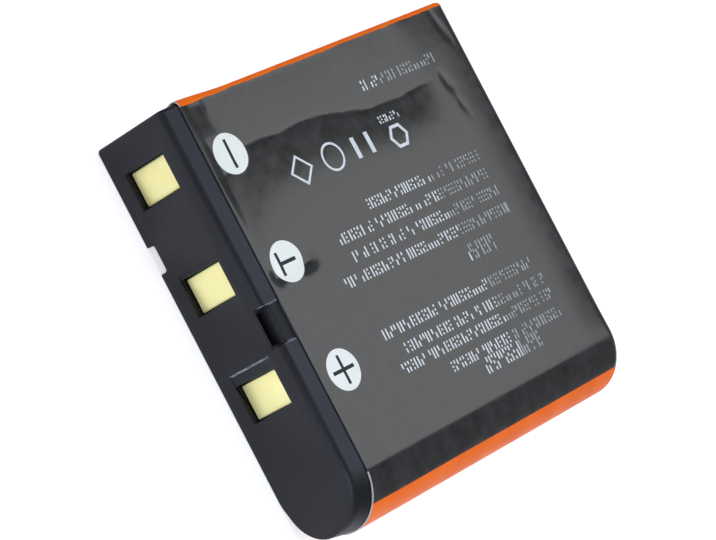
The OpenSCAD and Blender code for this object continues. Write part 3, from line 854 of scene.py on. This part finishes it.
@dataclass
class LabelPrint:
    """Pale discs of the polarity signs and plain blocks in rows, printed on the film.

    A block is drawn as upright strokes, each of one of stroke_kinds, in shares of the block's height.
    blocks gives a row's height and usual block length, and print beyond worn_from is dimmer.
    """

    form: PackForm
    relief: FilmRelief
    ink_rise: float = 0.010
    sign_rise: float = 0.005
    block_gap: float = 0.22
    stroke: float = 0.165
    stroke_kinds: tuple[tuple[tuple[float, float], ...], ...] = (
        ((0.0, 1.0),), ((0.0, 0.5),), ((0.0, 0.32), (0.55, 1.0)), ((0.45, 1.0),),
        ((0.0, 0.2), (0.4, 0.6), (0.8, 1.0)),
    )
    worn_from: float = 25.5
    disc_step: float = 0.3
    sign_margin: float = 0.12
    row_block: tuple[float, float] = (0.95, 0.62)
    blocks: dict[Place, tuple[float, float]] = field(default_factory=lambda: {
        Place.FIRST_HEADING: (1.45, 0.95),
        Place.SECOND_HEADING: (1.5, 1.2),
        Place.SMALL_ROW: (0.7, 0.5),
    })

    def print_point(self, x: float, y: float, rise: float) -> Vector:
        """Point on the film's surface at a place on the printed face, in metres."""
        s = self.form.across_top(x)
        return self.form.place(s, y, self.relief.lift(s, y) + rise)

    def discs(self) -> None:
        """Lay the pale discs with their signs on the film."""
        bm = merged_copy("polarity_marks")
        low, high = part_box("polarity_marks")
        step = self.disc_step * MM
        for axis in (0, 1):
            count = int((high[axis] - low[axis]) / step)
            for k in range(1, count + 1):
                middle, normal = Vector((0, 0, 0)), Vector((0, 0, 0))
                middle[axis], normal[axis] = low[axis] + k * step, 1.0
                bmesh.ops.bisect_plane(bm, geom=[*bm.verts, *bm.edges, *bm.faces], dist=1e-8,
                                       plane_co=middle, plane_no=normal)
        top = self.form.thick * MM
        for vert in bm.verts:
            x, y = vert.co.x / MM + self.form.width / 2, vert.co.y / MM + self.form.depth / 2
            vert.co = self.print_point(x, y, self.ink_rise + (vert.co.z - top) / MM)
        piece = finish_piece(bm, "polarity_discs", [MARK_INK])
        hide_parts("polarity_marks")

    def signs(self) -> None:
        """Lay dark ink below the discs, which shows where the signs are left open."""
        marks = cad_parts["polarity_marks"].data
        points = sorted((vert.co.x, vert.co.y) for vert in marks.vertices)
        groups = [[points[0]]]
        for before, point in zip(points, points[1:]):
            if point[0] - before[0] > MM:
                groups.append([])
            groups[-1].append(point)
        bm = bmesh.new()
        for group in groups:
            across, along = [p[0] for p in group], [p[1] for p in group]
            middle = Vector((min(across) + max(across), min(along) + max(along), 0)) / 2 / MM
            middle += Vector((self.form.width, self.form.depth, 0)) / 2
            radius = (max(across) - min(across)) / 2 / MM - self.sign_margin
            made = bmesh.ops.create_grid(bm, x_segments=24, y_segments=24, size=radius)
            far = [vert for vert in made["verts"] if vert.co.length > radius]
            bmesh.ops.translate(bm, verts=made["verts"], vec=middle)
            bmesh.ops.delete(bm, geom=far, context="VERTS")
        for vert in bm.verts:
            vert.co = self.print_point(vert.co.x, vert.co.y, self.sign_rise)
        finish_piece(bm, "sign_ink", [SIGN_INK])

    def rows(self) -> None:
        """Print each row as plain blocks of uneven length."""
        bm = bmesh.new()
        for number, row in enumerate(Place):
            height, width = self.blocks.get(row, self.row_block)
            across, start, end = row.value
            y, k = start, 0
            while y < end - 0.3:
                swing = 1 + 0.35 * ripple(k, 1.7, 40.0 + number)
                block = min(width * swing, end - y)
                self._block_of_strokes(bm, across, y + block / 2, height, block, k + number)
                gap = 3.0 if ripple(k, 2.3, 60.0 + number) > 0.28 else 1.0
                y += block + self.block_gap * gap
                k += 1
        self._lay(bm, "block_rows")

    def emblems(self) -> None:
        """Print the four plain shapes beside the rows."""
        bm = bmesh.new()
        self._ring(bm, 9.3, 15.5, 1.35, 0.22, 32)
        self._ring(bm, 9.3, 11.3, 1.45, 0.22, 4)
        self._ring(bm, 9.9, 24.3, 1.25, 0.3, 6)
        for along in (18.6, 20.5):
            self._block(bm, 9.4, along, 2.0, 0.5)
        self._lay(bm, "plain_emblems")

    def _block_of_strokes(self, bm: bmesh.types.BMesh, across: float, along: float, height: float,
                          length: float, number: int) -> None:
        """Add one block of plain upright strokes, each whole, short or parted.

        Args:
            bm: The ink.
            across: Middle of the block, from the square side.
            along: Depth of its middle.
            height: Its size across.
            length: Its size along the row.
            number: Picks the strokes.
        """
        count = max(2, round(length / (2 * self.stroke)))
        pitch = (length - self.stroke) / (count - 1)
        for k in range(count):
            place = along - length / 2 + self.stroke / 2 + k * pitch
            kind = int(50 * (1 + ripple(number + 3.7 * k, 1.9, 17.0))) % len(self.stroke_kinds)
            for low, high in self.stroke_kinds[kind]:
                middle = across + (low + high - 1) / 2 * height
                self._block(bm, middle, place, (high - low) * height, self.stroke)

    def _block(self, bm: bmesh.types.BMesh, across: float, along: float, height: float,
               length: float) -> None:
        """Add one flat block.

        Args:
            bm: The ink.
            across: Middle of the block, from the square side.
            along: Depth of its middle.
            height: Its size across.
            length: Its size along the row.
        """
        made = bmesh.ops.create_grid(bm, x_segments=3, y_segments=2, size=0.5)
        for vert in made["verts"]:
            vert.co = Vector((across + vert.co.x * height, along + vert.co.y * length, 0))

    def _ring(self, bm: bmesh.types.BMesh, across: float, along: float, radius: float,
              width: float, sides: int) -> None:
        """Add one flat ring.

        Args:
            bm: The ink.
            across: Its middle, from the square side.
            along: Depth of its middle.
            radius: Outer radius.
            width: Width of its line.
            sides: How many sides it has.
        """
        made = bmesh.ops.create_circle(bm, cap_ends=True, segments=sides, radius=radius)
        face = made["verts"][0].link_faces[0]
        bmesh.ops.translate(bm, verts=made["verts"], vec=Vector((across, along, 0)))
        bm.normal_update()
        bmesh.ops.inset_region(bm, faces=[face], thickness=width, use_boundary=True,
                                use_even_offset=True)
        bmesh.ops.delete(bm, geom=[face], context="FACES")

    def _lay(self, bm: bmesh.types.BMesh, name: str) -> None:
        """Lay flat ink, drawn in millimetres, on the film.

        Args:
            bm: The ink; it is freed.
            name: The piece's name.
        """
        for face in bm.faces:
            face.material_index = int(face.calc_center_median().y > self.worn_from)
        for vert in bm.verts:
            vert.co = self.print_point(vert.co.x, vert.co.y, self.ink_rise)
        piece = finish_piece(bm, name, [PRINT_INK, PRINT_WORN])
        ink = piece.modifiers.new("ink_thickness", "SOLIDIFY")
        ink.thickness = self.ink_rise * MM
        ink.offset = -1

    def build(self) -> None:
        """Print everything."""
        self.discs()
        self.signs()
        self.rows()
        self.emblems()


# Terminal end


@dataclass
class TerminalEnd:
    """The moulded end with its three contact plates.

    The edges by the film's groove are rounded less. The listed boxes hold the edges that are coloured
    pale as a painted highlight, as ranges from the square side, behind the terminal face and above the
    underside.
    """

    form: PackForm
    cap_edge: float = 0.08
    groove_edge: float = 0.03
    groove: float = 0.2
    plate_edge: float = 0.05
    highlight_boxes: tuple[tuple[tuple[float, float], ...], ...] = (
        ((22.0, 22.45), (-1.0, 0.13), (2.2, 6.9)),
        ((12.5, 12.9), (-1.0, 0.13), (4.6, 6.4)),
        ((18.1, 18.6), (0.75, 1.6), (8.7, 9.6)),
        ((21.6, 22.1), (0.75, 1.6), (8.7, 9.6)),
        ((18.1, 18.6), (-1.0, 0.3), (8.4, 9.3)),
    )
    plates: tuple[str, ...] = ("contact_minus", "contact_thermistor", "contact_plus")

    def is_painted_highlight(self, place: Vector) -> bool:
        """Whether a place, in millimetres, lies on an edge that takes the pale painted highlight."""
        spot = (place.x + self.form.width / 2, place.y + self.form.depth / 2, place.z)
        return any(all(low < c < high for c, (low, high) in zip(spot, box)) for box in self.highlight_boxes)

    def build(self) -> None:
        """Make the moulded end and the plates with softened edges."""
        bm = merged_copy("end_cap")
        groove = self.form.film_start - self.form.depth / 2 - self.groove
        soften_edges(bm, self.groove_edge, 40, start=groove)
        # Rounding faces inside the listed boxes take slot 1, the pale painted highlight.
        for face in soften_edges(bm, self.cap_edge, 40, end=groove):
            face.material_index = int(self.is_painted_highlight(face.calc_center_median() / MM))
        cap = finish_piece(bm, "terminal_end", [CAP_PLASTIC, CAP_PAINTED_HIGHLIGHT], 30)
        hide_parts("end_cap")
        for node in self.plates:
            bm = merged_copy(node)
            soften_edges(bm, self.plate_edge, 40)
            plate = finish_piece(bm, node.replace("contact", "plate"), [CONTACT_GOLD], 30)
            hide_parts(node)


def dress_inner_pieces() -> None:
    """Give each solid that stays as it is its finish."""
    for name, finish in INNER_FINISHES.items():
        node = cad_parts[name]
        node.data.materials.clear()
        node.data.materials.append(finish.material())
        log.info("%s: %s", name, finish.name)


# Studio


@dataclass(frozen=True)
class Softbox:
    """A rectangular lamp, by its direction and distance from the pack, and whether mirrors show it."""

    name: str
    azimuth_deg: float
    elevation_deg: float
    distance: float
    size: tuple[float, float]
    radiance: float
    colour: tuple[float, float, float] = (1.0, 1.0, 1.0)
    mirrored: bool = True

    def build(self, aim: Vector) -> None:
        """Make the lamp.

        Args:
            aim: The point that it faces.
        """
        lamp = bpy.data.lights.new(self.name, "AREA")
        lamp.shape = "RECTANGLE"
        lamp.size, lamp.size_y = self.size
        lamp.energy = self.radiance * math.pi * self.size[0] * self.size[1]
        lamp.color = self.colour
        a, e = math.radians(self.azimuth_deg), math.radians(self.elevation_deg)
        away = Vector((math.sin(a) * math.cos(e), math.cos(a) * math.cos(e), math.sin(e)))
        holder = bpy.data.objects.new(self.name, lamp)
        holder.location = aim + away * self.distance
        holder.rotation_mode = "QUATERNION"
        holder.rotation_quaternion = away.to_track_quat("Z", "Y")
        holder.visible_glossy = self.mirrored
        bpy.context.scene.collection.objects.link(holder)


@dataclass
class Studio:
    """Floor, lamps and camera."""

    aim: Vector = field(default_factory=lambda: Vector((-0.43, -2.35, 4.8)) * MM)
    azimuth_deg: float = -2.49
    elevation_deg: float = 43.67
    roll_deg: float = 60.81
    distance: float = 274.13 * MM
    focal_px: float = 3142.9
    image_width_px: float = 716.0
    sensor_mm: float = 36.0
    floor_size: float = 6.0
    floor_grey: float = 0.82
    floor_glow: float = 0.58
    world_level: float = 0.25
    lamps: tuple[Softbox, ...] = (
        Softbox("mirror_softbox", 3.7, 47.9, 1.2, (0.36, 0.40), 1.9),
        Softbox("overhead_softbox", 0.0, 84.0, 1.2, (1.3, 0.95), 1.72, (0.94, 0.985, 1.10)),
        Softbox("front_fill", 200.0, 30.0, 1.4, (0.9, 0.7), 1.25),
        Softbox("strip_softbox", -8.0, 77.0, 1.15, (0.3, 0.3), 8.0, (0.80, 0.95, 1.40)),
        Softbox("side_fill", 95.0, 12.0, 1.0, (0.6, 0.3), 3.4, mirrored=False),
        Softbox("cool_fill", 157.0, 12.0, 0.09, (0.02, 0.02), 14.0, (0.75, 0.9, 1.3)),
    )

    def floor(self) -> None:
        """Lay a pale floor that camera and mirrors see near white, and that keeps shadows."""
        bm = bmesh.new()
        bmesh.ops.create_grid(bm, x_segments=1, y_segments=1, size=self.floor_size / 2)
        mesh = bpy.data.meshes.new("floor")
        bm.to_mesh(mesh)
        bm.free()
        floor = bpy.data.objects.new("floor", mesh)
        bpy.context.scene.collection.objects.link(floor)
        made = bpy.data.materials.new("floor_paper")
        made.use_nodes = True
        tree = made.node_tree
        shader = tree.nodes["Principled BSDF"]
        shader.inputs["Base Color"].default_value = (self.floor_grey,) * 3 + (1,)
        shader.inputs["Roughness"].default_value = 0.9
        shader.inputs["Emission Color"].default_value = (1, 1, 1, 1)
        path = tree.nodes.new("ShaderNodeLightPath")
        seen = tree.nodes.new("ShaderNodeMath")
        seen.operation = "MAXIMUM"
        tree.links.new(path.outputs["Is Camera Ray"], seen.inputs[0])
        tree.links.new(path.outputs["Is Glossy Ray"], seen.inputs[1])
        level = tree.nodes.new("ShaderNodeMath")
        level.operation = "MULTIPLY"
        level.inputs[1].default_value = self.floor_glow
        tree.links.new(seen.outputs[0], level.inputs[0])
        tree.links.new(level.outputs[0], shader.inputs["Emission Strength"])
        mesh.materials.append(made)

    def camera(self) -> None:
        """Set the camera at the photograph's angle."""
        a, e = math.radians(self.azimuth_deg), math.radians(self.elevation_deg)
        ahead = Vector((math.sin(a) * math.cos(e), math.cos(a) * math.cos(e), -math.sin(e)))
        level = Vector((math.cos(a), -math.sin(a), 0))
        upright = level.cross(ahead)
        roll = math.radians(self.roll_deg)
        right = level * math.cos(roll) + upright * math.sin(roll)
        up = upright * math.cos(roll) - level * math.sin(roll)
        turn = Matrix((right, up, -ahead)).transposed()
        data = bpy.data.cameras.new("photo_camera")
        data.sensor_fit = "HORIZONTAL"
        data.sensor_width = self.sensor_mm
        data.lens = self.focal_px / self.image_width_px * self.sensor_mm
        data.clip_start, data.clip_end = 0.01, 20
        camera = bpy.data.objects.new("photo_camera", data)
        camera.matrix_world = Matrix.Translation(self.aim - ahead * self.distance) @ turn.to_4x4()
        bpy.context.scene.collection.objects.link(camera)
        bpy.context.scene.camera = camera

    def build(self) -> None:
        """Set up the floor, the lamps, the world and the camera."""
        self.floor()
        for lamp in self.lamps:
            lamp.build(self.aim)
        world = bpy.data.worlds.new("studio")
        bpy.context.scene.world = world
        world.use_nodes = True
        back = world.node_tree.nodes["Background"]
        back.inputs["Color"].default_value = (1, 1, 1, 1)
        back.inputs["Strength"].default_value = self.world_level
        self.camera()
        bpy.context.scene.view_settings.view_transform = "Standard"


def main() -> None:
    """Build the pack and its studio."""
    logging.basicConfig(level=logging.INFO, format="%(name)s: %(message)s")
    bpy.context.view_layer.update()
    form = PackForm.from_frame()
    relief = FilmRelief(form)
    dress_inner_pieces()
    TerminalEnd(form).build()
    FilmWrap(form, relief).build()
    LabelPrint(form, relief).build()
    Studio().build()


if __name__ == "__main__":
    main()
